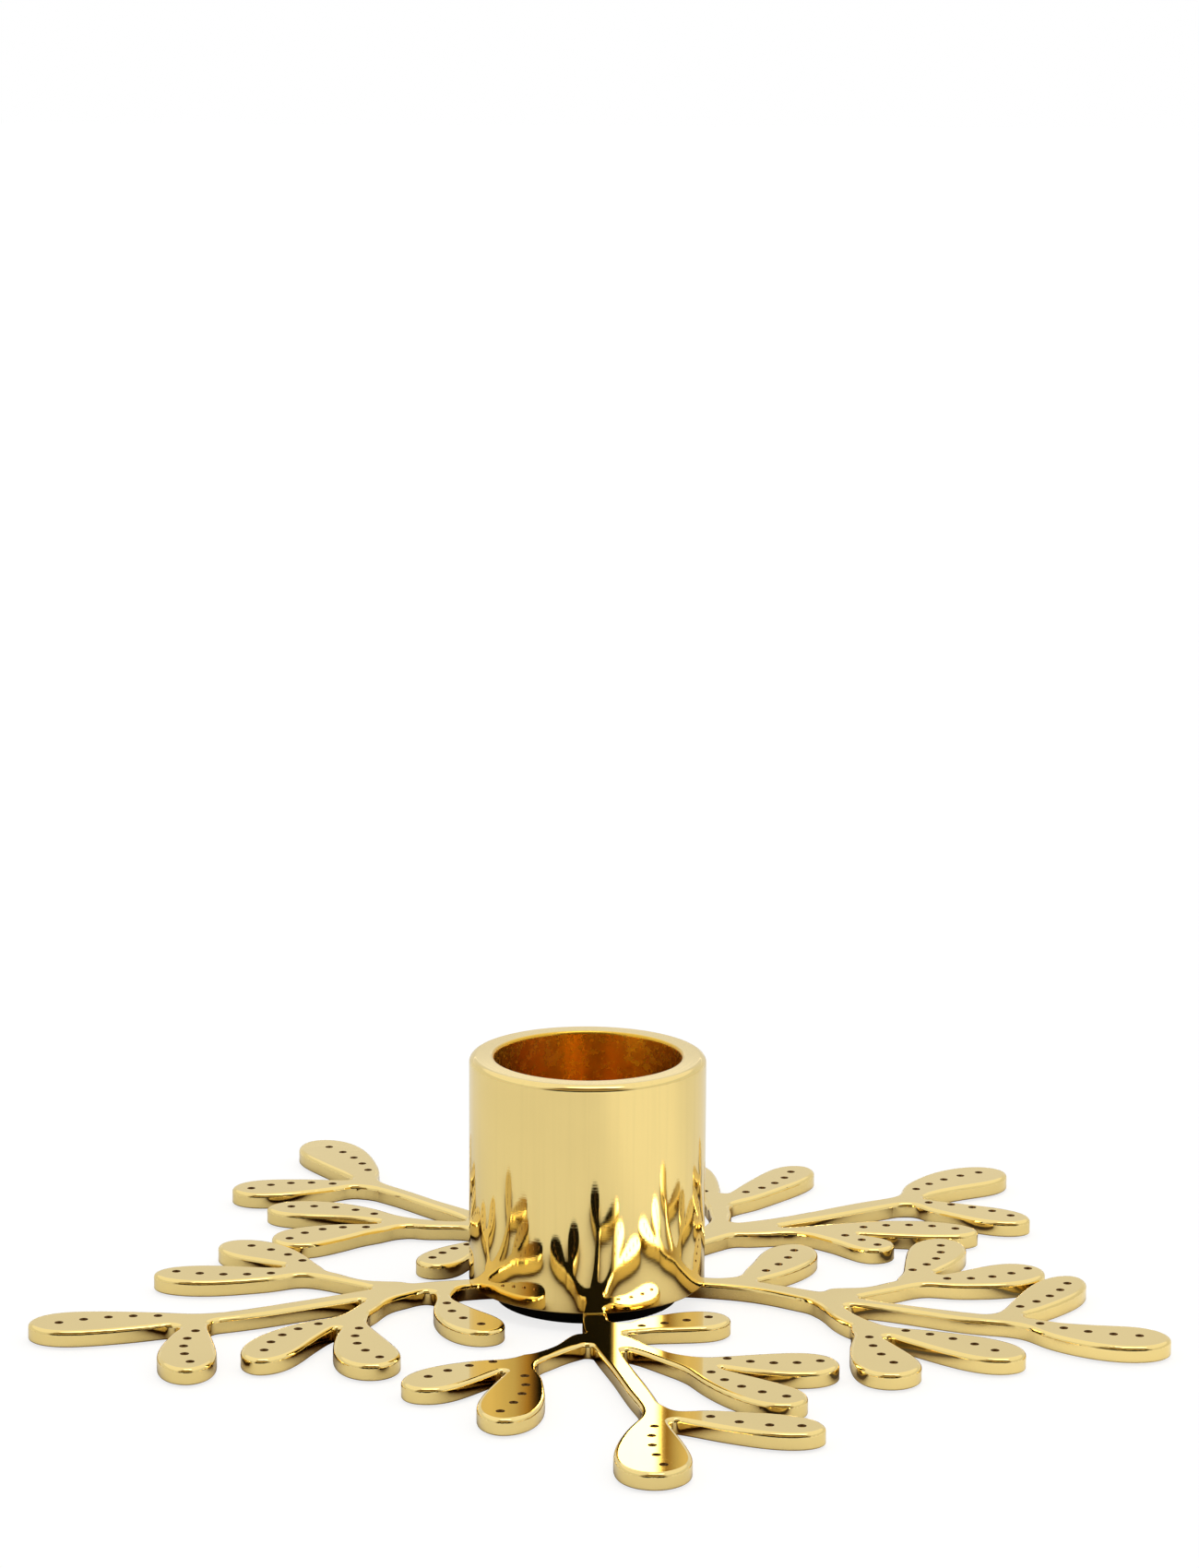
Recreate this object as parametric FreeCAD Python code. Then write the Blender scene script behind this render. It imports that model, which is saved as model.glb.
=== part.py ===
import FreeCAD, Part
import math
import os

# Candle ring: a flat plate of five leafy arms, with a round candle cup screwed on its hub
# and a rubber pad under it. Origin on the cup's axis at table level, +Z up, millimetres.
# The photographed side faces -Y.

# Plan of the arms
layout_size = 100.0       # length that every plan position is a share of
leaf_width = 7.0          # widest part of a middling leaf
stem_width = 2.6          # middling width of a stem
hub_diameter = 22.4       # round web in the middle of the plate

# Plate
plate_thickness = 2.0
top_rounding = 0.5        # upper edge of every arm
under_rounding = 0.2      # lower edge of every arm
corner_reach = 1.6        # how far a rounded inside corner runs along each of its walls
least_rounding = 0.25     # of a sharp inside corner
widest_rounding = 6.0     # of a blunt inside corner
dot_diameter = 1.05       # punched dots on the leaves, at the surface
dot_depth = 0.80

# Candle and cup
candle_diameter = 22.0    # standard taper candle
candle_clearance = 0.37   # play all round the candle
cup_diameter = 28.8
cup_height = 28.1
bore_depth = 20.0
rim_rounding = 0.8        # outer edge of the mouth
mouth_rounding = 0.4      # inner edge of the mouth
foot_rounding = 0.2       # lower outer edge of the cup
floor_rounding = 0.5      # corner at the bottom of the candle hole

# Pad
pad_thickness = 1.4
pad_stand = 0.3           # how far the pad stands below the plate
pad_rounding = 0.3
pad_clearance = 0.1

# Locating boss
boss_diameter = 12.0
boss_height = 2.5
boss_roof = 1.0
boss_pocket_diameter = 9.4
boss_clearance = 0.1      # sideways, between boss and cup
boss_headroom = 0.3       # above the boss, in the cup
boss_rounding = 0.4

# Screw and spring washer
screw_diameter = 3.9
thread_clearance = 0.05   # all round the screw in the cup
shank_clearance = 0.3     # all round the screw in the boss
screw_length = 7.0        # below the head
tapped_depth = 4.3
screw_tip_bevel = 0.4
head_diameter = 7.0
head_height = 1.2
head_rounding = 0.25
slot_width = 1.0
slot_depth = 0.6
washer_diameter = 7.6
washer_thickness = 0.9
washer_clearance = 0.35   # all round the screw in the washer
washer_slit = 0.7

# Levels above the table
plate_floor = pad_stand
plate_top = plate_floor + plate_thickness
pad_top = pad_thickness
boss_top = plate_top + boss_height
seat_level = boss_top - boss_roof
head_top = seat_level - washer_thickness
cup_top = plate_top + cup_height
bore_floor = cup_top - bore_depth
socket_top = boss_top + boss_headroom

# Shares that shape a leaf: steps along its widening part, and angles round its end
rise_shares = (0.25, 0.50, 0.75, 1.00)
rise_curve_share = 1.25
end_angle_shares = (0.333, 0.644)
root_cap_share = 0.35
hub_start_share = 0.25    # where the arms begin inside the hub, of its diameter
dot_tip_share = 0.40      # flat bottom of a dot, of its diameter
corner_try_shares = (1, 0.6, 0.35, 0.2)
match_share = 0.001

# One branch is a stem, a tip, a leaf and its dots. Stem points are x and y shares of the
# layout size with the half width as a share of the stem width. The leaf is its width as a
# share of the leaf width, its bow as a share of its length, and where it is widest. The dots
# are how many, the first and last as shares along the leaf, and the sideways place of the
# first, middle and last as shares of the leaf's width.

front_arm_shares = (
    (((0.009, -0.080, 0.65), (0.011, -0.150, 0.60), (0.016, -0.200, 0.65), (0.023, -0.250, 0.56),
      (0.044, -0.340, 0.48), (0.065, -0.425, 0.50), (0.076, -0.490, 0.54)),
     (0.080, -0.677), (1.22, -0.03, 0.74), (5, 0.21, 0.85, 0.00, -0.05, 0.07)),
    (((0.074, -0.465, 0.54), (0.093, -0.484, 0.50)),
     (0.266, -0.532), (0.94, 0.00, 0.70), (4, 0.27, 0.85, 0.00, -0.14, -0.01)),
    (((0.030, -0.225, 0.50), (0.062, -0.258, 0.50), (0.096, -0.292, 0.50), (0.126, -0.325, 0.58)),
     (0.246, -0.446), (1.00, -0.04, 0.72), (5, 0.17, 0.85, -0.05, -0.20, -0.02)),
    (((0.092, -0.288, 0.30), (0.112, -0.297, 0.42), (0.135, -0.304, 0.46)),
     (0.293, -0.311), (1.06, -0.03, 0.72), (5, 0.18, 0.86, 0.07, -0.10, 0.04)),
    (((0.003, -0.218, 0.46), (-0.024, -0.255, 0.42), (-0.056, -0.292, 0.42), (-0.080, -0.311, 0.46)),
     (-0.200, -0.404), (0.99, -0.06, 0.70), (4, 0.16, 0.75, -0.18, -0.27, -0.22)),
    (((-0.062, -0.290, 0.42), (-0.070, -0.320, 0.50)),
     (-0.095, -0.510), (1.05, 0.02, 0.70), (5, 0.23, 0.86, 0.09, 0.17, -0.04)),
    (((0.018, -0.182, 0.62), (0.048, -0.188, 0.62)),
     (0.172, -0.154), (0.91, 0.06, 0.70), (4, 0.14, 0.81, -0.02, 0.05, 0.16)),
)

right_arm_shares = (
    (((0.080, -0.002, 0.65), (0.150, -0.010, 0.52), (0.200, -0.023, 0.54), (0.245, -0.046, 0.58),
      (0.285, -0.069, 0.65), (0.340, -0.090, 0.42), (0.410, -0.120, 0.42), (0.475, -0.144, 0.50),
      (0.525, -0.160, 0.58)),
     (0.688, -0.216), (1.14, -0.10, 0.72), (5, 0.09, 0.79, -0.04, -0.16, -0.09)),
    (((0.495, -0.146, 0.50), (0.506, -0.128, 0.54)),
     (0.599, 0.017), (0.91, -0.02, 0.68), (5, 0.16, 0.81, 0.00, -0.18, -0.11)),
    (((0.295, -0.056, 0.58), (0.340, -0.043, 0.50), (0.375, -0.022, 0.50), (0.410, -0.004, 0.50)),
     (0.559, 0.051), (1.09, -0.07, 0.72), (5, 0.20, 0.90, -0.07, -0.22, -0.02)),
    (((0.392, -0.005, 0.46), (0.397, 0.015, 0.48)),
     (0.449, 0.168), (1.03, -0.04, 0.70), (5, 0.13, 0.80, 0.03, -0.19, -0.08)),
    (((0.280, -0.066, 0.50), (0.291, -0.092, 0.54), (0.305, -0.130, 0.54), (0.328, -0.168, 0.56),
      (0.352, -0.189, 0.50)),
     (0.508, -0.285), (1.03, 0.01, 0.72), (5, 0.14, 0.80, 0.09, 0.14, -0.01)),
    (((0.326, -0.178, 0.42), (0.328, -0.200, 0.52)),
     (0.362, -0.351), (1.09, -0.03, 0.74), (4, 0.14, 0.74, 0.00, -0.06, 0.03)),
    (((0.165, -0.012, 0.46), (0.190, -0.002, 0.50)),
     (0.265, 0.142), (1.00, -0.07, 0.70), (4, 0.26, 0.82, -0.18, -0.22, -0.12)),
)

back_right_arm_shares = (
    (((0.080, 0.085, 0.69), (0.135, 0.158, 0.65), (0.175, 0.200, 0.77), (0.220, 0.225, 0.58),
      (0.300, 0.270, 0.56), (0.380, 0.319, 0.58), (0.415, 0.344, 0.58)),
     (0.555, 0.463), (1.11, 0.12, 0.74), (5, 0.19, 0.83, 0.22, 0.32, 0.24)),
    (((0.405, 0.330, 0.50), (0.425, 0.328, 0.54)),
     (0.566, 0.248), (0.87, -0.02, 0.70), (5, 0.12, 0.83, 0.02, 0.18, 0.06)),
    (((0.185, 0.203, 0.58), (0.235, 0.200, 0.50), (0.280, 0.204, 0.50)),
     (0.496, 0.198), (0.93, 0.05, 0.68), (5, 0.33, 0.87, 0.14, 0.32, 0.13)),
    (((0.262, 0.202, 0.30), (0.285, 0.192, 0.42), (0.305, 0.179, 0.48)),
     (0.379, 0.126), (0.77, 0.04, 0.70), (3, 0.21, 0.80, 0.18, 0.12, 0.02)),
    (((0.160, 0.190, 0.46), (0.169, 0.235, 0.50), (0.171, 0.275, 0.54), (0.174, 0.315, 0.54)),
     (0.289, 0.484), (0.89, -0.01, 0.78), (5, 0.28, 0.83, -0.01, -0.16, 0.00)),
    (((0.172, 0.290, 0.34), (0.163, 0.335, 0.50)),
     (0.122, 0.505), (0.91, 0.00, 0.70), (5, 0.18, 0.82, 0.05, 0.15, 0.02)),
)

back_left_arm_shares = (
    (((-0.060, 0.090, 0.65), (-0.110, 0.185, 0.58), (-0.155, 0.263, 0.50), (-0.200, 0.310, 0.42),
      (-0.250, 0.363, 0.42), (-0.286, 0.403, 0.54)),
     (-0.375, 0.594), (1.18, -0.04, 0.74), (5, 0.23, 0.81, -0.19, -0.24, -0.10)),
    (((-0.272, 0.388, 0.34), (-0.305, 0.396, 0.50)),
     (-0.465, 0.366), (1.00, 0.00, 0.72), (5, 0.19, 0.85, 0.01, -0.16, 0.05)),
    (((-0.095, 0.195, 0.58), (-0.150, 0.216, 0.50), (-0.200, 0.221, 0.54), (-0.250, 0.241, 0.58)),
     (-0.413, 0.282), (0.93, -0.10, 0.70), (5, 0.16, 0.83, -0.15, -0.36, -0.19)),
    (((-0.222, 0.226, 0.30), (-0.245, 0.218, 0.42), (-0.265, 0.206, 0.50)),
     (-0.391, 0.139), (1.04, -0.05, 0.70), (5, 0.12, 0.86, -0.03, -0.26, -0.04)),
    (((-0.085, 0.155, 0.50), (-0.086, 0.225, 0.38), (-0.076, 0.280, 0.38), (-0.066, 0.335, 0.48)),
     (-0.114, 0.508), (0.94, 0.03, 0.70), (5, 0.23, 0.86, 0.10, 0.15, -0.02)),
    (((-0.070, 0.315, 0.42), (-0.058, 0.340, 0.46)),
     (0.006, 0.478), (0.97, -0.05, 0.70), (4, 0.16, 0.75, -0.10, -0.22, -0.16)),
    (((-0.105, 0.155, 0.46), (-0.130, 0.144, 0.46)),
     (-0.197, 0.047), (0.83, -0.05, 0.72), (4, 0.20, 0.78, -0.14, -0.22, -0.20)),
)

left_arm_shares = (
    (((-0.080, -0.010, 0.65), (-0.150, -0.023, 0.52), (-0.200, -0.038, 0.62), (-0.250, -0.060, 0.62),
      (-0.300, -0.085, 0.50), (-0.380, -0.128, 0.50), (-0.460, -0.159, 0.58)),
     (-0.660, -0.186), (1.11, 0.00, 0.74), (5, 0.24, 0.82, -0.11, -0.13, 0.04)),
    (((-0.463, -0.163, 0.50), (-0.461, -0.182, 0.54)),
     (-0.456, -0.348), (0.99, -0.03, 0.68), (5, 0.18, 0.84, 0.01, -0.14, 0.02)),
    (((-0.210, -0.040, 0.40), (-0.240, -0.072, 0.50), (-0.262, -0.115, 0.52), (-0.289, -0.161, 0.50)),
     (-0.380, -0.313), (0.96, -0.09, 0.70), (5, 0.19, 0.82, -0.18, -0.37, -0.17)),
    (((-0.274, -0.132, 0.34), (-0.272, -0.170, 0.50)),
     (-0.236, -0.328), (1.07, -0.05, 0.72), (5, 0.18, 0.84, -0.03, -0.18, 0.05)),
    (((-0.220, -0.038, 0.50), (-0.266, -0.024, 0.37), (-0.306, 0.001, 0.37), (-0.350, 0.020, 0.50)),
     (-0.531, 0.009), (0.97, 0.03, 0.68), (5, 0.21, 0.85, 0.13, 0.16, -0.05)),
    (((-0.332, 0.015, 0.38), (-0.342, 0.042, 0.46)),
     (-0.460, 0.130), (1.00, -0.07, 0.68), (4, 0.13, 0.74, -0.12, -0.25, -0.22)),
    (((-0.170, -0.035, 0.36), (-0.172, -0.075, 0.37)),
     (-0.103, -0.200), (0.94, -0.10, 0.72), (4, 0.19, 0.81, -0.15, -0.29, -0.14)),
)

all_arm_shares = (
    front_arm_shares,
    right_arm_shares,
    back_right_arm_shares,
    back_left_arm_shares,
    left_arm_shares,
)


def plan_point(x_share, y_share):
    """A point of the plan, at the level of the plate's underside."""
    return FreeCAD.Vector(x_share * layout_size, y_share * layout_size, plate_floor)


def sideways(direction):
    """The unit vector to the left of a direction in the plan."""
    vector = FreeCAD.Vector(-direction.y, direction.x, 0)
    vector.normalize()
    return vector


def leaf_axis(branch):
    """Root, run to the tip, and bow of one leaf."""
    stem, tip, leaf, dots = branch
    root = plan_point(stem[-1][0], stem[-1][1])
    run = plan_point(tip[0], tip[1]) - root
    bow = FreeCAD.Vector(-run.y, run.x, 0) * leaf[1]
    return root, run, bow


def axis_point(branch, share):
    """A point on the bowed middle line of a leaf."""
    root, run, bow = leaf_axis(branch)
    return root + run * share + bow * (4 * share * (1 - share))


def hub_station(point, half):
    """The place inside the hub where the stem that leads to a point begins."""
    outward = plan_point(point[0], point[1]) - plan_point(0, 0)
    outward.normalize()
    return plan_point(0, 0) + outward * (hub_diameter * hub_start_share), half


def branch_stations(branch, from_hub):
    """Middle points and half widths from the start of the stem to the tip of the leaf."""
    stem, tip, leaf, dots = branch
    neck_half = stem[-1][2] * stem_width
    leaf_half = leaf[0] * leaf_width / 2
    belly = leaf[2]
    stations = [(plan_point(x, y), half * stem_width) for x, y, half in stem]
    if from_hub:
        stations.insert(0, hub_station(stem[0], stations[0][1]))
    start, start_half = stations[0]
    back = start - stations[1][0]
    back.normalize()
    stations.insert(0, (start + back * (start_half * root_cap_share), 0))
    for step in rise_shares:
        half = neck_half + (leaf_half - neck_half) * math.sin(math.pi / 2 * step) ** rise_curve_share
        stations.append((axis_point(branch, belly * step), half))
    for turn in end_angle_shares:
        angle = math.pi / 2 * turn
        share = belly + (1 - belly) * math.sin(angle)
        stations.append((axis_point(branch, share), leaf_half * math.cos(angle)))
    stations.append((plan_point(tip[0], tip[1]), 0))
    return stations


def branch_face(branch, from_hub):
    """Flat outline of one stem with its leaf."""
    stations = branch_stations(branch, from_hub)
    left = []
    right = []
    for before, here, after in zip(stations, stations[1:], stations[2:]):
        offset = sideways(after[0] - before[0]) * here[1]
        left.append(here[0] + offset)
        right.append(here[0] - offset)
    points = [stations[0][0]] + right + [stations[-1][0]] + left[::-1]
    curve = Part.BSplineCurve()
    curve.interpolate(Points=points, PeriodicFlag=True)
    return Part.Face(Part.Wire([curve.toShape()]))


def joined_face(faces):
    """One flat face from overlapping ones."""
    parts = faces[0].fuse(faces[1:])
    return Part.Shell(parts.Faces).removeSplitter().Faces[0]


def upright_edges(solid):
    """The straight edges that stand up from the plan."""
    reach = plate_thickness * match_share
    found = []
    for edge in solid.Edges:
        if len(edge.Vertexes) == 2:
            low = edge.Vertexes[0].Point
            high = edge.Vertexes[1].Point
            if abs(low.x - high.x) < reach and abs(low.y - high.y) < reach:
                found.append(edge)
    return found


def corner_angle(solid, edge):
    """Angle between the two walls that meet at an upright edge."""
    middle = (edge.Vertexes[0].Point + edge.Vertexes[1].Point) * 0.5
    normals = []
    for face in solid.ancestorsOfType(edge, Part.Face):
        place = face.Surface.parameter(middle)
        normals.append(face.normalAt(place[0], place[1]))
    return normals[0].getAngle(normals[1])


def rounded_at(solid, angle, place):
    """The solid with the corner at one place of the plan rounded, more widely where it is blunt."""
    reach = stem_width * match_share * 5
    radius = min(max(corner_reach / math.tan(angle / 2), least_rounding), widest_rounding)
    for share in corner_try_shares:
        for edge in upright_edges(solid):
            gap = edge.Vertexes[0].Point - place
            if math.hypot(gap.x, gap.y) < reach:
                try:
                    rounded = solid.makeFillet(radius * share, [edge])
                except Part.OCCError:
                    continue
                if rounded.isValid():
                    return rounded
    print("corner left sharp", round(place.x, 1), round(place.y, 1))
    return solid


def with_round_corners(solid):
    """Inside corners between the stems, widest angle first."""
    corners = [(corner_angle(solid, edge), edge.Vertexes[0].Point) for edge in upright_edges(solid)]
    corners.sort(key=lambda corner: -corner[0])
    for angle, place in corners:
        if angle > math.radians(8):
            solid = rounded_at(solid, angle, place)
    return solid


def edges_at_level(solid, level):
    """All edges that lie flat at one height."""
    reach = plate_thickness * match_share
    return [edge for edge in solid.Edges
            if abs(edge.BoundBox.ZMin - level) < reach and abs(edge.BoundBox.ZMax - level) < reach]


def with_round_edges(solid, level, radius):
    """Upper or lower edge of an arm, rounded all the way round."""
    try:
        rounded = solid.makeFillet(radius, edges_at_level(solid, level))
    except Part.OCCError:
        print("edge left sharp at level", level)
        return solid
    if rounded.isValid():
        return rounded
    print("edge left sharp at level", level)
    return solid


def arm_solid(arm):
    """One arm with its stems and leaves. Only its first branch comes from the hub."""
    face = joined_face([branch_face(branch, branch is arm[0]) for branch in arm])
    solid = face.extrude(FreeCAD.Vector(0, 0, plate_thickness))
    solid = with_round_corners(solid)
    solid = with_round_edges(solid, plate_top, top_rounding)
    return with_round_edges(solid, plate_floor, under_rounding)


def disc(diameter, low, high):
    """A round block on the cup's axis between two heights."""
    return Part.makeCylinder(diameter / 2, high - low, FreeCAD.Vector(0, 0, low))


def circle_edges(solid, level, diameter):
    """The round edges of one diameter at one height."""
    found = []
    for edge in edges_at_level(solid, level):
        across = edge.BoundBox.XLength
        if abs(across - diameter) < diameter * match_share:
            found.append(edge)
    return found


def dot_places(branch):
    """Middle of each dot of one leaf, in the plan."""
    count, first, last, start_side, middle_side, last_side = branch[3]
    root, run, bow = leaf_axis(branch)
    side = sideways(run) * (branch[2][0] * leaf_width)
    places = []
    for index in range(count):
        step = index / (count - 1)
        start_weight = (1 - step) * (1 - 2 * step)
        middle_weight = 4 * step * (1 - step)
        last_weight = step * (2 * step - 1)
        shift = start_side * start_weight + middle_side * middle_weight + last_side * last_weight
        places.append(root + run * (first + (last - first) * step) + side * shift)
    return places


def dot_cutters():
    """One small cone for every dot, as deep below the plate's top as it stands above it."""
    tip_radius = dot_diameter * dot_tip_share / 2
    wide_radius = dot_diameter - tip_radius
    cutters = []
    for arm in all_arm_shares:
        for branch in arm:
            for place in dot_places(branch):
                foot = FreeCAD.Vector(place.x, place.y, plate_top - dot_depth)
                cutters.append(Part.makeCone(tip_radius, wide_radius, dot_depth * 2, foot))
    return Part.makeCompound(cutters)


def leaf_plate():
    """The plate: five arms, a thin hub over the pad, and a boss that finds the cup."""
    hub = disc(hub_diameter, plate_floor, plate_top)
    boss = disc(boss_diameter, plate_floor, boss_top)
    boss = boss.makeFillet(boss_rounding, circle_edges(boss, boss_top, boss_diameter))
    plate = hub.fuse([arm_solid(arm) for arm in all_arm_shares] + [boss])
    pad_room = disc(hub_diameter + 2 * pad_clearance, 0, pad_top)
    screw_pocket = disc(boss_pocket_diameter, 0, seat_level)
    screw_hole = disc(screw_diameter + 2 * shank_clearance, 0, cup_top)
    plate = plate.cut([pad_room, screw_pocket, screw_hole, dot_cutters()])
    return plate.removeSplitter()


def candle_cup():
    """The candle's cup, with a socket for the boss and a tapped hole in its floor."""
    bore_diameter = candle_diameter + 2 * candle_clearance
    cup = disc(cup_diameter, plate_top, cup_top)
    cup = cup.cut(disc(bore_diameter, bore_floor, cup_top + bore_depth))
    cup = cup.makeFillet(rim_rounding, circle_edges(cup, cup_top, cup_diameter))
    cup = cup.makeFillet(mouth_rounding, circle_edges(cup, cup_top, bore_diameter))
    cup = cup.makeFillet(foot_rounding, circle_edges(cup, plate_top, cup_diameter))
    cup = cup.makeFillet(floor_rounding, circle_edges(cup, bore_floor, bore_diameter))
    socket = disc(boss_diameter + 2 * boss_clearance, plate_top, socket_top)
    tapped_hole = disc(screw_diameter + 2 * thread_clearance, plate_top, socket_top + tapped_depth)
    return cup.cut([socket, tapped_hole])


def base_pad():
    """Rubber disc that the ring stands on."""
    pad = disc(hub_diameter, 0, pad_top)
    return pad.makeFillet(pad_rounding, circle_edges(pad, 0, hub_diameter))


def fixing_screw():
    """Slotted screw that draws the cup down on the plate."""
    head_floor = head_top - head_height
    tip_level = head_top + screw_length
    head = disc(head_diameter, head_floor, head_top)
    head = head.makeFillet(head_rounding, circle_edges(head, head_floor, head_diameter))
    slot = Part.makeBox(head_diameter * 2, slot_width, slot_depth * 2,
                        FreeCAD.Vector(-head_diameter, -slot_width / 2, head_floor - slot_depth))
    shank = disc(screw_diameter, head_floor + slot_depth, tip_level)
    shank = shank.makeChamfer(screw_tip_bevel, circle_edges(shank, tip_level, screw_diameter))
    return head.cut(slot).fuse(shank).removeSplitter()


def spring_washer():
    """Split ring between the screw's head and the boss."""
    ring = disc(washer_diameter, head_top, seat_level)
    ring = ring.cut(disc(screw_diameter + 2 * washer_clearance, head_top, seat_level))
    slit = Part.makeBox(washer_diameter, washer_slit, washer_thickness * 3,
                        FreeCAD.Vector(0, -washer_slit / 2, head_top - washer_thickness))
    return ring.cut(slit)


makers = {
    "leaf_plate": leaf_plate,
    "candle_cup": candle_cup,
    "base_pad": base_pad,
    "fixing_screw": fixing_screw,
    "spring_washer": spring_washer,
}

os.makedirs("parts", exist_ok=True)
for node, maker in makers.items():
    shape = maker()
    if shape.ShapeType == "Compound" and len(shape.Solids) == 1:
        shape = shape.Solids[0]
    shape.exportStep("parts/" + node + ".step")
    print(node, shape.ShapeType, shape.isValid(), len(shape.Solids), len(shape.Faces), round(shape.Volume))
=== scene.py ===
import math

import bmesh
import bpy
from mathutils import Matrix, Vector


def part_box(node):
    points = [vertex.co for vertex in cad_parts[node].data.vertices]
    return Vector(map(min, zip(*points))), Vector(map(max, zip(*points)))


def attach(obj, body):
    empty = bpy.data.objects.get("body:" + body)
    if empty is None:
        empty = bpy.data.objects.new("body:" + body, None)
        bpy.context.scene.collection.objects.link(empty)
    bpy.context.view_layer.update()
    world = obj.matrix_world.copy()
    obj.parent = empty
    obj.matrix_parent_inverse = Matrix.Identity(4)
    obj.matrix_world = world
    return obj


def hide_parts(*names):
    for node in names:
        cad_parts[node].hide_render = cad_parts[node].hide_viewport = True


bl_info = {
    "name": "Leafy candle holder",
    "version": (1, 0, 0),
    "blender": (4, 5, 0),
    "location": "View3D > Sidebar > Candle holder",
    "description": "Finishes the leaf plate, the cup, the pad and the fixings, and sets the stage",
    "category": "Object",
}

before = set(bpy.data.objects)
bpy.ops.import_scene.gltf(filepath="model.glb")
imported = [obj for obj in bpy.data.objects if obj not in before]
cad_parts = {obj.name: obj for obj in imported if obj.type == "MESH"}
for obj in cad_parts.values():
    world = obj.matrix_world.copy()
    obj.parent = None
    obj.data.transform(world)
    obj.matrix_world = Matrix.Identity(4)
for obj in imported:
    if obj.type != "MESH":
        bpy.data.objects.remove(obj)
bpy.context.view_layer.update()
cup_low, cup_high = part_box("candle_cup")
pad_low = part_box("base_pad")[0]

millimetre = 0.001
full_turn = 2 * math.pi
axis_slack = 1e-9                       # a profile point nearer to the axis than this lies on it
sharp_angle = math.radians(35)          # edges sharper than this stay edges

# The punched dots are told from the rest of the plate by their depth and the tilt of their walls

dot_wall_tilt = 0.366                   # upward part of the normal on a dot's wall
dot_wall_slack = 0.03
dot_bottom_depth = 0.80 * millimetre
dot_bottom_slack = 0.05 * millimetre
edge_facet_depth = 0.317 * millimetre   # here the plate's rounded edge tilts like a dot's wall
edge_facet_slack = 0.03 * millimetre

# Sockets of the colour mix node

mix_share = 0
mix_first = 6
mix_second = 7
mix_result = 2

# Camera

film_width = 36.0                       # millimetres, the width that the focal length is given for
nearest_sight = 0.01
farthest_sight = 20.0


# Shader sums

class Signal:
    """A shader socket that ordinary sums can be written with."""

    def __init__(self, sheet, socket):
        self.sheet = sheet
        self.socket = socket

    def sum(self, operation, *terms):
        """One Math node over the given terms."""
        node = self.sheet.add("ShaderNodeMath", {"operation": operation}, dict(enumerate(terms)))
        return self.sheet.first(node)

    def __add__(self, other):
        return self.sum("ADD", self, other)

    def __radd__(self, other):
        return self.sum("ADD", other, self)

    def __sub__(self, other):
        return self.sum("SUBTRACT", self, other)

    def __rsub__(self, other):
        return self.sum("SUBTRACT", other, self)

    def __mul__(self, other):
        return self.sum("MULTIPLY", self, other)

    def __truediv__(self, other):
        return self.sum("DIVIDE", self, other)

    def __neg__(self):
        return self.sum("MULTIPLY", self, -1.0)

    def __pow__(self, other):
        return self.sum("POWER", self, other)

    def near(self, value, reach):
        """One close to a value, nought out of its reach."""
        gap = self - value
        inner_share = 0.8
        return 1.0 - gap.sum("ABSOLUTE", gap).smooth(reach * inner_share, reach)

    def within(self, start, full, fading, end):
        """One in the middle of a range, nought outside it, with an eased step on either side."""
        return self.smooth(start, full) * (1.0 - self.smooth(fading, end))

    def smooth(self, start, end):
        """Nought before the start, one after the end, with an eased step between."""
        node = self.sheet.add(
            "ShaderNodeMapRange",
            {"interpolation_type": "SMOOTHSTEP", "clamp": True},
            {"Value": self, "From Min": start, "From Max": end, "To Min": 0.0, "To Max": 1.0},
        )
        return Signal(self.sheet, node.outputs["Result"])


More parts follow.
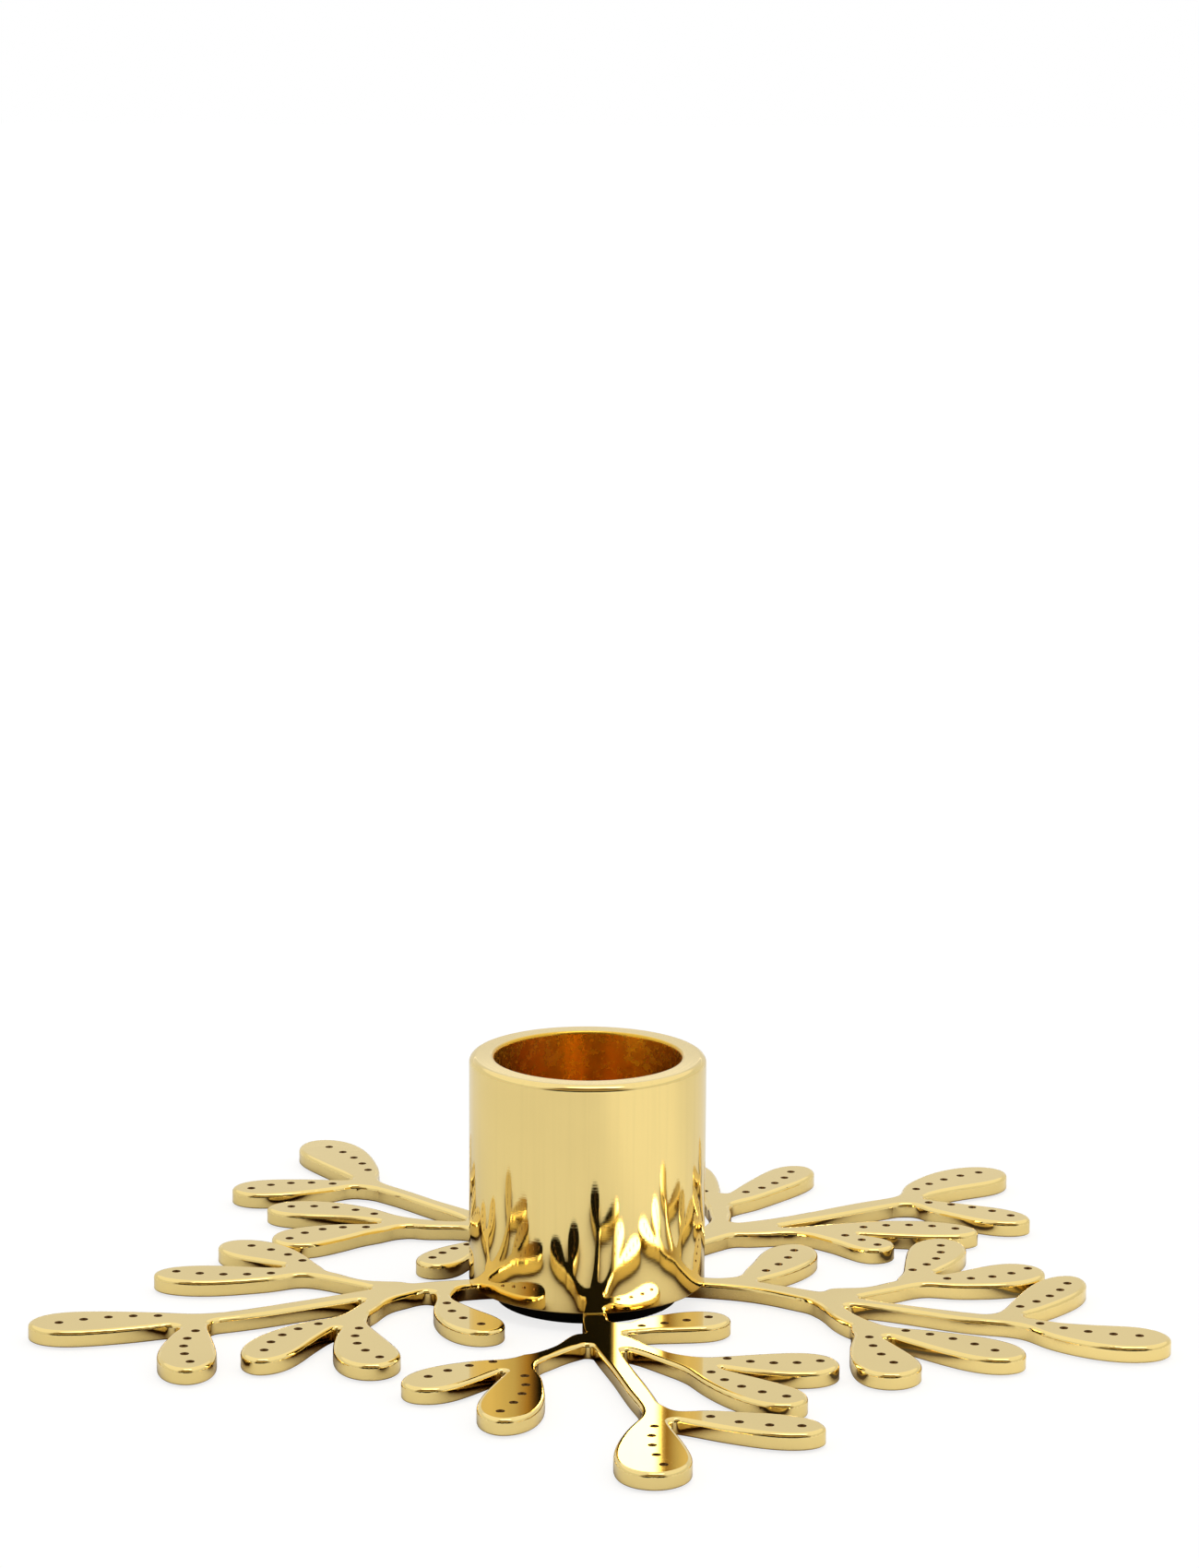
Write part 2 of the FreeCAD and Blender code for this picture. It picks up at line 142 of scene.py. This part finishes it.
class Sheet:
    """The node tree of one finish."""

    def __init__(self, tree):
        self.tree = tree
        tree.nodes.clear()

    def add(self, kind, settings=None, values=None):
        """One node: its settings first, then the values or links of its sockets."""
        node = self.tree.nodes.new(kind)
        for name, setting in (settings or {}).items():
            if name == "stops":
                self.set_stops(node.color_ramp, setting)
            else:
                setattr(node, name, setting)
        for name, value in (values or {}).items():
            socket = node.inputs[name]
            if isinstance(value, Signal):
                self.tree.links.new(value.socket, socket)
            else:
                socket.default_value = value
        return node

    def set_stops(self, ramp, stops):
        """Fills a colour ramp with places and colours."""
        while len(ramp.elements) > 1:
            ramp.elements.remove(ramp.elements[-1])
        ramp.elements[0].position = stops[0][0]
        ramp.elements[0].color = stops[0][1]
        for place, colour in stops[1:]:
            ramp.elements.new(place).color = colour

    def first(self, node):
        """The first output of a node."""
        return Signal(self, node.outputs[0])

    def read(self, node, name):
        """One output of a node, ready for sums."""
        return Signal(self, node.outputs[name])

    def parts(self, vector):
        """The three parts of a vector."""
        node = self.add("ShaderNodeSeparateXYZ", None, {"Vector": vector})
        return [Signal(self, output) for output in node.outputs]

    def vector(self, x, y, z):
        """A vector from three parts."""
        node = self.add("ShaderNodeCombineXYZ", None, {"X": x, "Y": y, "Z": z})
        return self.first(node)

    def place(self):
        """Where a point lies on the object, in metres."""
        return self.read(self.add("ShaderNodeTexCoord"), "Object")

    def noise(self, place, scale, detail, roughness=0.5):
        """Soft cloudy variation."""
        node = self.add(
            "ShaderNodeTexNoise",
            None,
            {"Vector": place, "Scale": scale, "Detail": detail, "Roughness": roughness},
        )
        return self.first(node)

    def blend(self, share, first, second):
        """A colour between two."""
        node = self.add(
            "ShaderNodeMix",
            {"data_type": "RGBA", "clamp_factor": True},
            {mix_share: share, mix_first: first, mix_second: second},
        )
        return Signal(self, node.outputs[mix_result])

    def bump(self, height, strength, distance):
        """A normal from a height."""
        node = self.add(
            "ShaderNodeBump", None, {"Height": height, "Strength": strength, "Distance": distance}
        )
        return self.first(node)


def new_finish(name):
    """An empty material and its node sheet."""
    finish = bpy.data.materials.new(name)
    finish.use_nodes = True
    return finish, Sheet(finish.node_tree)


def close_finish(sheet, values):
    """The surface shader with its constants and links."""
    shader = sheet.add("ShaderNodeBsdfPrincipled", None, values)
    sheet.add("ShaderNodeOutputMaterial", None, {"Surface": sheet.first(shader)})


def opaque(colour):
    """A colour with full cover."""
    return (colour[0], colour[1], colour[2], 1.0)


def grey(tone):
    """A grey with full cover."""
    return (tone, tone, tone, 1.0)


def toned(colour, tone):
    """A darker or lighter colour."""
    return (colour[0] * tone, colour[1] * tone, colour[2] * tone, 1.0)


# Tones of the floor

seen_glow = 0.78                        # light of its own that the camera sees
seen_tone = 0.26
# Painted light: the floor glows for the brass alone, on its right, though it is no lamp
painted_mirror_glow = 0.15                    # light of its own that the brass mirrors on its right
mirrored_tone = 0.76

# Surroundings. A turn of nought lies behind the object, a half in front of it, less on its left
# and more on its right. A rise is the upward part of a direction of length one.

near_black = grey(0.01)
pale_wall = grey(0.77)
strip_light = grey(1.15)
low_dusk = (0.46, 0.37, 0.22, 1.0)
high_dusk = (0.22, 0.155, 0.07, 1.0)
amber = (0.40, 0.28, 0.13, 1.0)
umber = (0.14, 0.09, 0.05, 1.0)
tawny = (0.34, 0.24, 0.11, 1.0)
stark_room_stops = (
    (0.00, grey(0.76)), (0.022, grey(0.70)), (0.05, grey(0.78)), (0.20, grey(0.80)),
    (0.29, grey(0.60)), (0.335, amber), (0.355, umber),
    (0.370, near_black), (0.566, near_black), (0.578, grey(1.00)), (0.71, grey(1.00)),
    (0.74, tawny), (0.78, grey(0.60)), (0.82, grey(0.80)),
    (0.955, grey(0.76)), (0.968, grey(0.86)), (1.00, grey(0.76)),
)
front_turns = (0.36, 0.42, 0.58, 0.64)
dark_side_turns = (0.33, 0.41, 0.57, 0.60)
window_turns = (0.572, 0.588, 0.69, 0.73)
window_rises = (0.10, 0.18, 0.44, 0.54)
strip_rises = (0.2595, 0.2650, 0.270, 0.276)
ceiling_rise = 0.44                     # where the ceiling begins on the sides and behind
front_ceiling_lift = 0.46               # how much higher it begins in front
ceiling_blend = 0.08
ceiling_tone = 0.98
below_tone = 0.70
window_light = 7.5
lamp_light = 2.0
lamp_side = (0.08, -0.26, 0.96)         # towards the soft lamp overhead


# Finishes

def dot_mask(sheet, z):
    """One inside the punched dots, nought on the rest of the plate."""
    depth = cup_low.z - z
    normal = sheet.read(sheet.add("ShaderNodeNewGeometry"), "True Normal")
    upward = sheet.parts(normal)[2]
    off_the_edge = 1.0 - depth.near(edge_facet_depth, edge_facet_slack)
    wall = upward.near(dot_wall_tilt, dot_wall_slack) * off_the_edge
    level = upward.smooth(start=0.90, end=0.95)
    bottom = level * depth.near(dot_bottom_depth, dot_bottom_slack)
    return wall + bottom


def plate_finish(looks):
    """Polished brass of the leaf plate, with buffing marks that run across it and painted shade in
    the dots.
    """
    finish, sheet = new_finish("polished_leaf_brass")
    clouded_tone = 0.96
    buffing_waves = (180.0, 2600.0, 900.0)
    cloud_dulling = 0.02
    streak_dulling = 0.03
    dot_dulling = 0.25
    streak_height = 0.6
    speckle_height = 0.4
    place = sheet.place()
    x, y, z = sheet.parts(place)
    cloud = sheet.noise(place, scale=55.0, detail=3.0)
    buffed = sheet.vector(x * buffing_waves[0], y * buffing_waves[1], z * buffing_waves[2])
    streaks = sheet.noise(buffed, scale=1.0, detail=2.0)
    speckle = sheet.noise(place, scale=2400.0, detail=2.0)
    dots = dot_mask(sheet, z)
    clouded = cloud.smooth(start=0.35, end=0.70)
    colour = sheet.blend(clouded, opaque(looks.brass), toned(looks.brass, clouded_tone))
    # Painted shade: the punched dots take a dark colour
    colour = sheet.blend(dots, colour, opaque(looks.dot_painted_shade))
    roughness = looks.polish + cloud.smooth(start=0.4, end=0.75) * cloud_dulling
    roughness = roughness + streaks.smooth(start=0.55, end=0.8) * streak_dulling
    height = streaks * streak_height + speckle * speckle_height
    close_finish(sheet, {
        "Base Color": colour,
        "Metallic": 1.0,
        "Roughness": roughness + dots * dot_dulling,
        "Normal": sheet.bump(height, strength=0.10, distance=0.02 * millimetre),
    })
    return finish


def bore_mask(looks, radius, z):
    """One on the wall and bottom of the candle hole, nought on the rest of the cup."""
    wall_start = looks.bore_radius + 0.1 * millimetre
    wall_end = looks.bore_radius + 0.4 * millimetre
    floor_start = looks.bore_floor - 0.5 * millimetre
    inside = 1.0 - radius.smooth(wall_start, wall_end)
    return inside * z.smooth(floor_start, looks.bore_floor)


def cup_finish(looks):
    """Turned and polished brass: fine rings round the outside, a coarser and browner bore."""
    finish, sheet = new_finish("turned_cup_brass")
    clouded_tone = 0.97
    streaked_tone = 0.93
    streak_cover = 0.5
    stained_tone = 0.92
    ring_waves = 9000.0
    waves_round = 1500.0
    waves_up = 25.0
    cloud_dulling = 0.02
    bore_dulling = 0.17
    cast_dulling = 0.10
    ring_height = 0.25
    bore_ring_height = 0.5
    cast_height = 0.6
    place = sheet.place()
    x, y, z = sheet.parts(place)
    radius = (x * x + y * y) ** 0.5
    bore = bore_mask(looks, radius, z)
    cloud = sheet.noise(place, scale=70.0, detail=3.0)
    turned = sheet.vector(radius * ring_waves, 0.0, z * ring_waves)
    rings = sheet.noise(turned, scale=1.0, detail=2.0)
    wiped = sheet.vector(x * waves_round, y * waves_round, z * waves_up)
    upright = sheet.noise(wiped, scale=1.0, detail=3.0)
    cast = sheet.noise(place, scale=900.0, detail=4.0, roughness=0.65)
    clouded = cloud.smooth(start=0.35, end=0.70)
    colour = sheet.blend(clouded, opaque(looks.brass), toned(looks.brass, clouded_tone))
    streaked = upright.smooth(start=0.45, end=0.75) * streak_cover
    colour = sheet.blend(streaked, colour, toned(looks.brass, streaked_tone))
    stain = upright.smooth(start=0.3, end=0.7)
    stained = sheet.blend(stain, opaque(looks.bore_brass), toned(looks.bore_brass, stained_tone))
    colour = sheet.blend(bore, colour, stained)
    roughness = looks.polish + cloud.smooth(start=0.4, end=0.75) * cloud_dulling
    coarseness = bore_dulling + cast.smooth(start=0.35, end=0.7) * cast_dulling
    height = rings * ring_height + bore * (rings * bore_ring_height + cast * cast_height)
    close_finish(sheet, {
        "Base Color": colour,
        "Metallic": 1.0,
        "Roughness": roughness + bore * coarseness,
        "Normal": sheet.bump(height, strength=0.12, distance=0.04 * millimetre),
    })
    return finish


def rubber_finish(looks):
    """Moulded black rubber with a fine grain."""
    finish, sheet = new_finish("pad_rubber")
    dusty_tone = 2.2
    smoothest = 0.62
    grain_dulling = 0.2
    place = sheet.place()
    grain = sheet.noise(place, scale=2600.0, detail=3.0, roughness=0.6)
    dust = sheet.noise(place, scale=180.0, detail=4.0)
    dusty = dust.smooth(start=0.45, end=0.8)
    close_finish(sheet, {
        "Base Color": sheet.blend(dusty, opaque(looks.rubber), toned(looks.rubber, dusty_tone)),
        "Roughness": smoothest + grain * grain_dulling,
        "Specular IOR Level": 0.12,
        "Normal": sheet.bump(grain, strength=0.35, distance=0.05 * millimetre),
    })
    return finish


def steel_finish(name, steel, roughness):
    """Plated or oiled steel with fine turning marks."""
    finish, sheet = new_finish(name)
    clouded_tone = 0.82
    cloud_dulling = 0.12
    ring_waves = 7000.0
    place = sheet.place()
    x, y, z = sheet.parts(place)
    radius = (x * x + y * y) ** 0.5
    turned = sheet.vector(radius * ring_waves, 0.0, z * ring_waves)
    rings = sheet.noise(turned, scale=1.0, detail=2.0)
    cloud = sheet.noise(place, scale=600.0, detail=3.0)
    clouded = cloud.smooth(start=0.4, end=0.7)
    close_finish(sheet, {
        "Base Color": sheet.blend(clouded, opaque(steel), toned(steel, clouded_tone)),
        "Metallic": 1.0,
        "Roughness": roughness + cloud * cloud_dulling,
        "Normal": sheet.bump(rings, strength=0.2, distance=0.03 * millimetre),
    })
    return finish


def floor_finish(sizes):
    """Matt white that the brass mirrors with painted shade close to the plate and a painted glow on
    the right.
    """
    finish, sheet = new_finish("white_floor")
    rays = sheet.add("ShaderNodeLightPath")
    seen = sheet.read(rays, "Is Camera Ray")
    mirrored = sheet.read(rays, "Is Glossy Ray")
    x, y = sheet.parts(sheet.place())[:2]
    to_the_right = x.smooth(start=10 * millimetre, end=60 * millimetre)
    in_front = 1.0 - y.smooth(start=-20 * millimetre, end=40 * millimetre)
    # Painted light on the right for the rays that the brass mirrors; the camera's glow keeps the
    # floor evenly white
    lift = seen * seen_glow + mirrored * (to_the_right * in_front) * painted_mirror_glow
    # Painted shade: an occlusion test darkens the floor that the brass mirrors close to the plate
    corners = sheet.add(
        "ShaderNodeAmbientOcclusion", {"samples": 8}, {"Distance": sizes.painted_shade_reach}
    )
    open_sky = sheet.read(corners, "AO").smooth(start=0.30, end=0.95)
    mirrored_with_painted_shade = sheet.blend(open_sky, opaque(sizes.painted_corner_shade), grey(mirrored_tone))
    colour = sheet.blend(seen, mirrored_with_painted_shade, grey(seen_tone))
    matt = sheet.add("ShaderNodeBsdfDiffuse", None, {"Color": colour})
    glow = sheet.add("ShaderNodeEmission", None, {"Color": grey(1.0), "Strength": lift})
    both = sheet.add("ShaderNodeAddShader", None, {0: sheet.first(matt), 1: sheet.first(glow)})
    sheet.add("ShaderNodeOutputMaterial", None, {"Surface": sheet.first(both)})
    return finish


# Shapes

def arc_points(centre, radius, start, end, steps):
    """Points of an arc in the plane of radius and height, angles in degrees."""
    points = []
    for step in range(steps + 1):
        angle = math.radians(start + (end - start) * step / steps)
        points.append((centre[0] + radius * math.cos(angle), centre[1] + radius * math.sin(angle)))
    return points


def turned_mesh(name, profile, segments):
    """A closed turned form from a profile of radius and height that starts and ends on the axis."""
    shape = bmesh.new()
    rows = []
    for radius, height in profile:
        if radius < axis_slack:
            rows.append([shape.verts.new((0.0, 0.0, height))])
            continue
        row = []
        for index in range(segments):
            angle = full_turn * index / segments
            row.append(shape.verts.new((radius * math.cos(angle), radius * math.sin(angle), height)))
        rows.append(row)
    for low, high in zip(rows, rows[1:]):
        for index in range(segments):
            after = (index + 1) % segments
            if len(low) == 1:
                shape.faces.new((low[0], high[after], high[index]))
            elif len(high) == 1:
                shape.faces.new((low[index], low[after], high[0]))
            else:
                shape.faces.new((low[index], low[after], high[after], high[index]))
    bmesh.ops.recalc_face_normals(shape, faces=shape.faces)
    mesh = bpy.data.meshes.new(name)
    shape.to_mesh(mesh)
    shape.free()
    for face in mesh.polygons:
        face.use_smooth = True
    mesh.set_sharp_from_angle(angle=sharp_angle)
    return mesh


def new_piece(name, mesh, finish, replaced):
    """A piece that rides on the holder and stands for a CAD node."""
    piece = bpy.data.objects.new(name, mesh)
    bpy.context.scene.collection.objects.link(piece)
    mesh.materials.clear()
    mesh.materials.append(finish)
    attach(piece, "root")
    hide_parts(replaced)
    return piece


def dress_node(node, finish):
    """A better finish on a CAD node."""
    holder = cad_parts[node]
    for index in range(max(1, len(holder.material_slots))):
        if index < len(holder.material_slots):
            holder.material_slots[index].material = finish
        else:
            holder.data.materials.append(finish)


# Settings

class HolderLooks(bpy.types.PropertyGroup):
    """Colours and finish of the metal and the rubber."""

    brass: bpy.props.FloatVectorProperty(
        name="Brass", description="Colour of the polished brass",
        default=(0.95, 0.735, 0.29), subtype="COLOR", size=3, min=0.0, max=1.0)
    # Painted shade: the dark colour put into the punched dots
    dot_painted_shade: bpy.props.FloatVectorProperty(
        name="Dots", description="Colour of the brass inside the punched dots",
        default=(0.13, 0.065, 0.022), subtype="COLOR", size=3, min=0.0, max=1.0)
    bore_brass: bpy.props.FloatVectorProperty(
        name="Bore", description="Colour of the brass inside the candle hole",
        default=(0.82, 0.485, 0.05), subtype="COLOR", size=3, min=0.0, max=1.0)
    rubber: bpy.props.FloatVectorProperty(
        name="Rubber", description="Colour of the pad",
        default=(0.004, 0.004, 0.004), subtype="COLOR", size=3, min=0.0, max=1.0)
    screw_steel: bpy.props.FloatVectorProperty(
        name="Screw", description="Colour of the plated screw",
        default=(0.62, 0.62, 0.60), subtype="COLOR", size=3, min=0.0, max=1.0)
    washer_steel: bpy.props.FloatVectorProperty(
        name="Washer", description="Colour of the spring washer",
        default=(0.35, 0.35, 0.36), subtype="COLOR", size=3, min=0.0, max=1.0)
    polish: bpy.props.FloatProperty(
        name="Polish", description="Roughness of the best polished brass",
        default=0.035, subtype="FACTOR", min=0.0, max=1.0)
    bore_radius: bpy.props.FloatProperty(
        name="Bore radius", description="Radius of the candle hole",
        default=11.37 * millimetre, unit="LENGTH", subtype="DISTANCE", min=0.0)
    bore_floor: bpy.props.FloatProperty(
        name="Bore floor", description="Height of the bottom of the candle hole above the table",
        default=cup_high.z - 20.0 * millimetre, unit="LENGTH", subtype="DISTANCE", min=0.0)


class CupSizes(bpy.types.PropertyGroup):
    """Sizes of the turned cup."""

    outer_radius: bpy.props.FloatProperty(
        name="Outer radius", description="Outer radius of the cup",
        default=(cup_high.x - cup_low.x) / 2, unit="LENGTH", subtype="DISTANCE", min=0.0)
    rim_rounding: bpy.props.FloatProperty(
        name="Rim rounding", description="Radius of the outer edge of the rim",
        default=0.8 * millimetre, unit="LENGTH", subtype="DISTANCE", min=0.0)
    mouth_rounding: bpy.props.FloatProperty(
        name="Mouth rounding", description="Radius of the inner edge of the rim",
        default=0.4 * millimetre, unit="LENGTH", subtype="DISTANCE", min=0.0)
    foot_rounding: bpy.props.FloatProperty(
        name="Foot rounding", description="Radius of the lower outer edge",
        default=0.2 * millimetre, unit="LENGTH", subtype="DISTANCE", min=0.0)
    floor_rounding: bpy.props.FloatProperty(
        name="Floor rounding", description="Radius of the corner at the bottom of the candle hole",
        default=0.5 * millimetre, unit="LENGTH", subtype="DISTANCE", min=0.0)
    flat_margin: bpy.props.FloatProperty(
        name="Flat margin", description="Narrow ring beside each rounding that keeps the flats flat",
        default=0.05 * millimetre, unit="LENGTH", subtype="DISTANCE", min=0.0)
    socket_radius: bpy.props.FloatProperty(
        name="Socket radius", description="Radius of the socket under the cup",
        default=6.1 * millimetre, unit="LENGTH", subtype="DISTANCE", min=0.0)
    socket_depth: bpy.props.FloatProperty(
        name="Socket depth", description="Depth of the socket under the cup",
        default=2.8 * millimetre, unit="LENGTH", subtype="DISTANCE", min=0.0)
    screw_hole_radius: bpy.props.FloatProperty(
        name="Screw hole radius", description="Radius of the tapped hole",
        default=2.0 * millimetre, unit="LENGTH", subtype="DISTANCE", min=0.0)
    screw_hole_depth: bpy.props.FloatProperty(
        name="Screw hole depth", description="Depth of the tapped hole above the socket",
        default=4.3 * millimetre, unit="LENGTH", subtype="DISTANCE", min=0.0)
    segments: bpy.props.IntProperty(
        name="Segments", description="Steps round the cup", default=256, min=24)


class StageSizes(bpy.types.PropertyGroup):
    """Floor, surroundings and camera."""

    floor_half: bpy.props.FloatProperty(
        name="Floor", description="Half the side of the floor",
        default=3.0, unit="LENGTH", subtype="DISTANCE", min=0.1)
    # Painted shade: how far the occlusion test darkens the mirrored floor near the plate
    painted_shade_reach: bpy.props.FloatProperty(
        name="Corner reach", description="How far the plate darkens the floor that it mirrors",
        default=0.014, unit="LENGTH", subtype="DISTANCE", min=0.0)
    # Painted shade: colour of the mirrored floor in tight corners
    painted_corner_shade: bpy.props.FloatVectorProperty(
        name="Corner shade", description="Colour of the mirrored floor in tight corners",
        default=(0.10, 0.05, 0.02), subtype="COLOR", size=3, min=0.0, max=1.0)
    camera_place: bpy.props.FloatVectorProperty(
        name="Camera place", description="Where the camera stands",
        default=(0.00124, -0.5039, 0.1656), unit="LENGTH", subtype="TRANSLATION", size=3)
    camera_pitch: bpy.props.FloatProperty(
        name="Camera pitch", description="How far the camera looks down",
        default=math.radians(11.41), unit="ROTATION", subtype="ANGLE")
    camera_roll: bpy.props.FloatProperty(
        name="Camera roll", description="Turn of the camera about its own line of sight",
        default=math.radians(0.31), unit="ROTATION", subtype="ANGLE")
    lens: bpy.props.FloatProperty(
        name="Lens", description="Focal length in millimetres on a 36 mm frame",
        default=98.65, min=10.0)


# Operators

class DressLeafPlate(bpy.types.Operator):
    """Gives the leaf plate its polished brass."""

    bl_idname = "candle_holder.dress_leaf_plate"
    bl_label = "Leaf plate"

    def execute(self, context):
        dress_node("leaf_plate", plate_finish(context.scene.holder_looks))
        return {"FINISHED"}


class MakeCandleCup(bpy.types.Operator):
    """Turns the candle cup with its rounded rim, bore, socket and screw hole."""

    bl_idname = "candle_holder.make_candle_cup"
    bl_label = "Candle cup"

    def execute(self, context):
        looks = context.scene.holder_looks
        sizes = context.scene.cup_sizes
        outer = sizes.outer_radius
        bottom = cup_low.z
        top = cup_high.z
        bore = looks.bore_radius
        floor = looks.bore_floor
        socket_top = bottom + sizes.socket_depth
        hole_top = socket_top + sizes.screw_hole_depth
        foot = sizes.foot_rounding
        rim = sizes.rim_rounding
        mouth = sizes.mouth_rounding
        corner = sizes.floor_rounding
        ease = sizes.flat_margin
        profile = [(0.0, hole_top), (sizes.screw_hole_radius, hole_top)]
        profile += [(sizes.screw_hole_radius, socket_top), (sizes.socket_radius, socket_top)]
        profile += [(sizes.socket_radius, bottom)]
        profile += arc_points((outer - foot, bottom + foot), foot, start=-90, end=0, steps=8)
        profile += [(outer, bottom + foot + ease), (outer, top - rim - ease)]
        profile += arc_points((outer - rim, top - rim), rim, start=0, end=90, steps=10)
        profile += [(outer - rim - ease, top), (bore + mouth + ease, top)]
        profile += arc_points((bore + mouth, top - mouth), mouth, start=90, end=180, steps=8)
        profile += arc_points((bore - corner, floor + corner), corner, start=0, end=-90, steps=6)
        profile += [(bore / 2, floor), (0.0, floor)]
        mesh = turned_mesh("candle_cup_turned", profile, sizes.segments)
        new_piece("candle_cup_turned", mesh, cup_finish(looks), "candle_cup")
        return {"FINISHED"}


class DressBasePad(bpy.types.Operator):
    """Gives the pad its black rubber."""

    bl_idname = "candle_holder.dress_base_pad"
    bl_label = "Base pad"

    def execute(self, context):
        dress_node("base_pad", rubber_finish(context.scene.holder_looks))
        return {"FINISHED"}


class DressFixings(bpy.types.Operator):
    """Gives the screw and its spring washer their steel."""

    bl_idname = "candle_holder.dress_fixings"
    bl_label = "Screw and washer"

    def execute(self, context):
        looks = context.scene.holder_looks
        plated = steel_finish("plated_screw_steel", looks.screw_steel, roughness=0.25)
        oiled = steel_finish("oiled_washer_steel", looks.washer_steel, roughness=0.35)
        dress_node("fixing_screw", plated)
        dress_node("spring_washer", oiled)
        return {"FINISHED"}


class SetStage(bpy.types.Operator):
    """Makes the pale floor, the soft surroundings and the camera."""

    bl_idname = "candle_holder.set_stage"
    bl_label = "Stage"

    def execute(self, context):
        sizes = context.scene.stage_sizes
        self.make_floor(sizes)
        self.make_surroundings(context.scene)
        self.make_camera(context.scene, sizes)
        context.scene.view_settings.view_transform = "Standard"
        return {"FINISHED"}

    def make_floor(self, sizes):
        """White floor that keeps the shadow."""
        half = sizes.floor_half
        mesh = bpy.data.meshes.new("floor")
        outline = ((-half, -half), (half, -half), (half, half), (-half, half))
        corners = [(x, y, pad_low.z) for x, y in outline]
        mesh.from_pydata(corners, [], [(0, 1, 2, 3)])
        mesh.materials.append(floor_finish(sizes))
        floor = bpy.data.objects.new("floor", mesh)
        bpy.context.scene.collection.objects.link(floor)

    def plain_room(self, sheet, front, y, z):
        """The first image in the brass: pale, with a strip of light behind and dusk in front."""
        strip = y.smooth(start=0.80, end=0.90) * z.within(*strip_rises)
        room = sheet.blend(strip, pale_wall, strip_light)
        dusk = sheet.blend(z.smooth(start=0.46, end=0.56), low_dusk, high_dusk)
        room = sheet.blend(front, room, dusk)
        line = front * (1.0 - z.smooth(start=0.24, end=0.36))
        return sheet.blend(line, room, near_black)

    def stark_room(self, sheet, turn):
        """The image of an image in the brass: dark where the camera stands, bright beside it."""
        ring = sheet.add("ShaderNodeValToRGB", {"stops": stark_room_stops}, {"Fac": turn})
        return sheet.read(ring, "Color")

    def make_surroundings(self, scene):
        """White to the camera, and to the brass a soft studio with a ceiling, a window and a lamp."""
        world = bpy.data.worlds.new("studio")
        world.use_nodes = True
        scene.world = world
        sheet = Sheet(world.node_tree)
        rays = sheet.add("ShaderNodeLightPath")
        seen = sheet.read(rays, "Is Camera Ray")
        again = sheet.read(rays, "Ray Depth").smooth(start=2.4, end=2.6)
        toward = sheet.read(sheet.add("ShaderNodeTexCoord"), "Generated")
        x, y, z = sheet.parts(toward)
        turn = x.sum("ARCTAN2", x, -y) / full_turn + 0.5
        front = turn.within(*front_turns)
        plain = self.plain_room(sheet, front, y, z)
        around = sheet.blend(again, plain, self.stark_room(sheet, turn))
        high_front = again * turn.within(*dark_side_turns) + (1.0 - again) * front
        ceiling = ceiling_rise + high_front * front_ceiling_lift
        above = z.smooth(ceiling, ceiling + ceiling_blend)
        below = 1.0 - z.smooth(start=-0.02, end=0.02)
        colour = sheet.blend(above, around, grey(ceiling_tone))
        colour = sheet.blend(below, colour, grey(below_tone))
        window = again * turn.within(*window_turns) * z.within(*window_rises)
        overhead = sheet.add(
            "ShaderNodeVectorMath", {"operation": "DOT_PRODUCT"}, {0: toward, 1: lamp_side}
        )
        lamp = sheet.read(overhead, "Value").smooth(start=0.940, end=0.965)
        light = 1.0 + window * window_light + lamp * lamp_light
        studio = sheet.add("ShaderNodeBackground", None, {"Color": colour, "Strength": light})
        white = sheet.add("ShaderNodeBackground", None, {"Color": grey(1.0), "Strength": 1.0})
        both = sheet.add(
            "ShaderNodeMixShader", None, {0: seen, 1: sheet.first(studio), 2: sheet.first(white)}
        )
        sheet.add("ShaderNodeOutputWorld", None, {"Surface": sheet.first(both)})

    def make_camera(self, scene, sizes):
        """The camera at the photograph's viewing angle."""
        lens = bpy.data.cameras.new("camera")
        lens.lens = sizes.lens
        lens.sensor_width = film_width
        lens.clip_start = nearest_sight
        lens.clip_end = farthest_sight
        camera = bpy.data.objects.new("camera", lens)
        scene.collection.objects.link(camera)
        tilt = Matrix.Rotation(math.pi / 2 - sizes.camera_pitch, 4, "X")
        roll = Matrix.Rotation(sizes.camera_roll, 4, "Z")
        camera.matrix_world = Matrix.Translation(Vector(sizes.camera_place)) @ tilt @ roll
        scene.camera = camera


class CandleHolderPanel(bpy.types.Panel):
    """Lists the pieces of the candle holder."""

    bl_idname = "VIEW3D_PT_candle_holder"
    bl_label = "Candle holder"
    bl_space_type = "VIEW_3D"
    bl_region_type = "UI"
    bl_category = "Candle holder"

    def draw(self, context):
        layout = self.layout
        for operator in piece_operators:
            layout.operator(operator.bl_idname)
        for group in ("holder_looks", "cup_sizes", "stage_sizes"):
            settings = getattr(context.scene, group)
            box = layout.box()
            for name in settings.__annotations__:
                box.prop(settings, name)


piece_operators = (SetStage, DressLeafPlate, MakeCandleCup, DressBasePad, DressFixings)
setting_groups = (HolderLooks, CupSizes, StageSizes)


def register():
    """Makes the settings, the pieces and the panel known."""
    for group in (*setting_groups, *piece_operators, CandleHolderPanel):
        bpy.utils.register_class(group)
    bpy.types.Scene.holder_looks = bpy.props.PointerProperty(type=HolderLooks)
    bpy.types.Scene.cup_sizes = bpy.props.PointerProperty(type=CupSizes)
    bpy.types.Scene.stage_sizes = bpy.props.PointerProperty(type=StageSizes)


def unregister():
    """Takes them away again."""
    del bpy.types.Scene.stage_sizes
    del bpy.types.Scene.cup_sizes
    del bpy.types.Scene.holder_looks
    for group in reversed((*setting_groups, *piece_operators, CandleHolderPanel)):
        bpy.utils.unregister_class(group)


def main():
    """Makes every piece in order."""
    register()
    bpy.ops.candle_holder.set_stage()
    bpy.ops.candle_holder.dress_leaf_plate()
    bpy.ops.candle_holder.make_candle_cup()
    bpy.ops.candle_holder.dress_base_pad()
    bpy.ops.candle_holder.dress_fixings()


if __name__ == "__main__":
    main()
